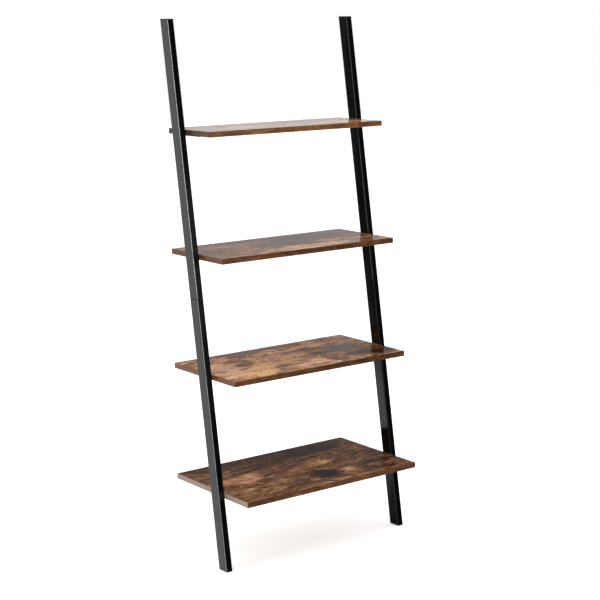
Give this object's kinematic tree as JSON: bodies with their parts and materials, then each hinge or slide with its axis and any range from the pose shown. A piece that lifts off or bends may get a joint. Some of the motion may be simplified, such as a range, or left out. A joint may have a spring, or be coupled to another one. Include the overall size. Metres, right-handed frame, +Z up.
{
  "type": "ladder shelf",
  "caption": "Leaning ladder shelf: black steel tube uprights lean back to a wall and hold wood-look boards that get shallower towards the top.",
  "frame": {"origin": "on the floor, under the middle of the shelf's overall box", "axes": "+X to the right seen from the front, +Y back to the wall the shelf leans on, +Z up"},
  "size_m": [0.64, 0.35, 1.5],
  "materials": {
    "upright_steel": "satin black powder coat",
    "black_plastic": "finely textured black plastic",
    "rustic_wood": "satin laminate, rustic brown with tan streaks and dark patches",
    "wood_band": "satin edge strip printed with brown wood grain",
    "bare_steel": "zinc plated",
    "black_screw": "black oxide"
  },
  "bodies": {
    "root": {"upright_lower_left": "upright_steel", "upright_lower_right": "upright_steel", "upright_upper_left": "upright_steel", "upright_upper_right": "upright_steel", "splice_sleeve_left": "bare_steel", "splice_sleeve_right": "bare_steel", "foot_left": "black_plastic", "foot_right": "black_plastic", "cap_left": "black_plastic", "cap_right": "black_plastic", "splice_screw_lower_left": "black_screw", "splice_screw_lower_right": "black_screw", "splice_screw_upper_left": "black_screw", "splice_screw_upper_right": "black_screw", "board_350": "rustic_wood", "edge_350_front": "wood_band", "edge_350_rear": "wood_band", "edge_350_left": "wood_band", "edge_350_right": "wood_band", "bracket_350_left": "upright_steel", "bracket_350_right": "upright_steel", "screw_350_left_front": "bare_steel", "screw_350_left_rear": "bare_steel", "screw_350_right_front": "bare_steel", "screw_350_right_rear": "bare_steel", "board_300": "rustic_wood", "edge_300_front": "wood_band", "edge_300_rear": "wood_band", "edge_300_left": "wood_band", "edge_300_right": "wood_band", "bracket_300_left": "upright_steel", "bracket_300_right": "upright_steel", "screw_300_left_front": "bare_steel", "screw_300_left_rear": "bare_steel", "screw_300_right_front": "bare_steel", "screw_300_right_rear": "bare_steel", "board_250": "rustic_wood", "edge_250_front": "wood_band", "edge_250_rear": "wood_band", "edge_250_left": "wood_band", "edge_250_right": "wood_band", "bracket_250_left": "upright_steel", "bracket_250_right": "upright_steel", "screw_250_left_front": "bare_steel", "screw_250_left_rear": "bare_steel", "screw_250_right_front": "bare_steel", "screw_250_right_rear": "bare_steel", "board_200": "rustic_wood", "edge_200_front": "wood_band", "edge_200_rear": "wood_band", "edge_200_left": "wood_band", "edge_200_right": "wood_band", "bracket_200_left": "upright_steel", "bracket_200_right": "upright_steel", "screw_200_left_front": "bare_steel", "screw_200_left_rear": "bare_steel", "screw_200_right_front": "bare_steel", "screw_200_right_rear": "bare_steel"}
  },
  "joints": []
}
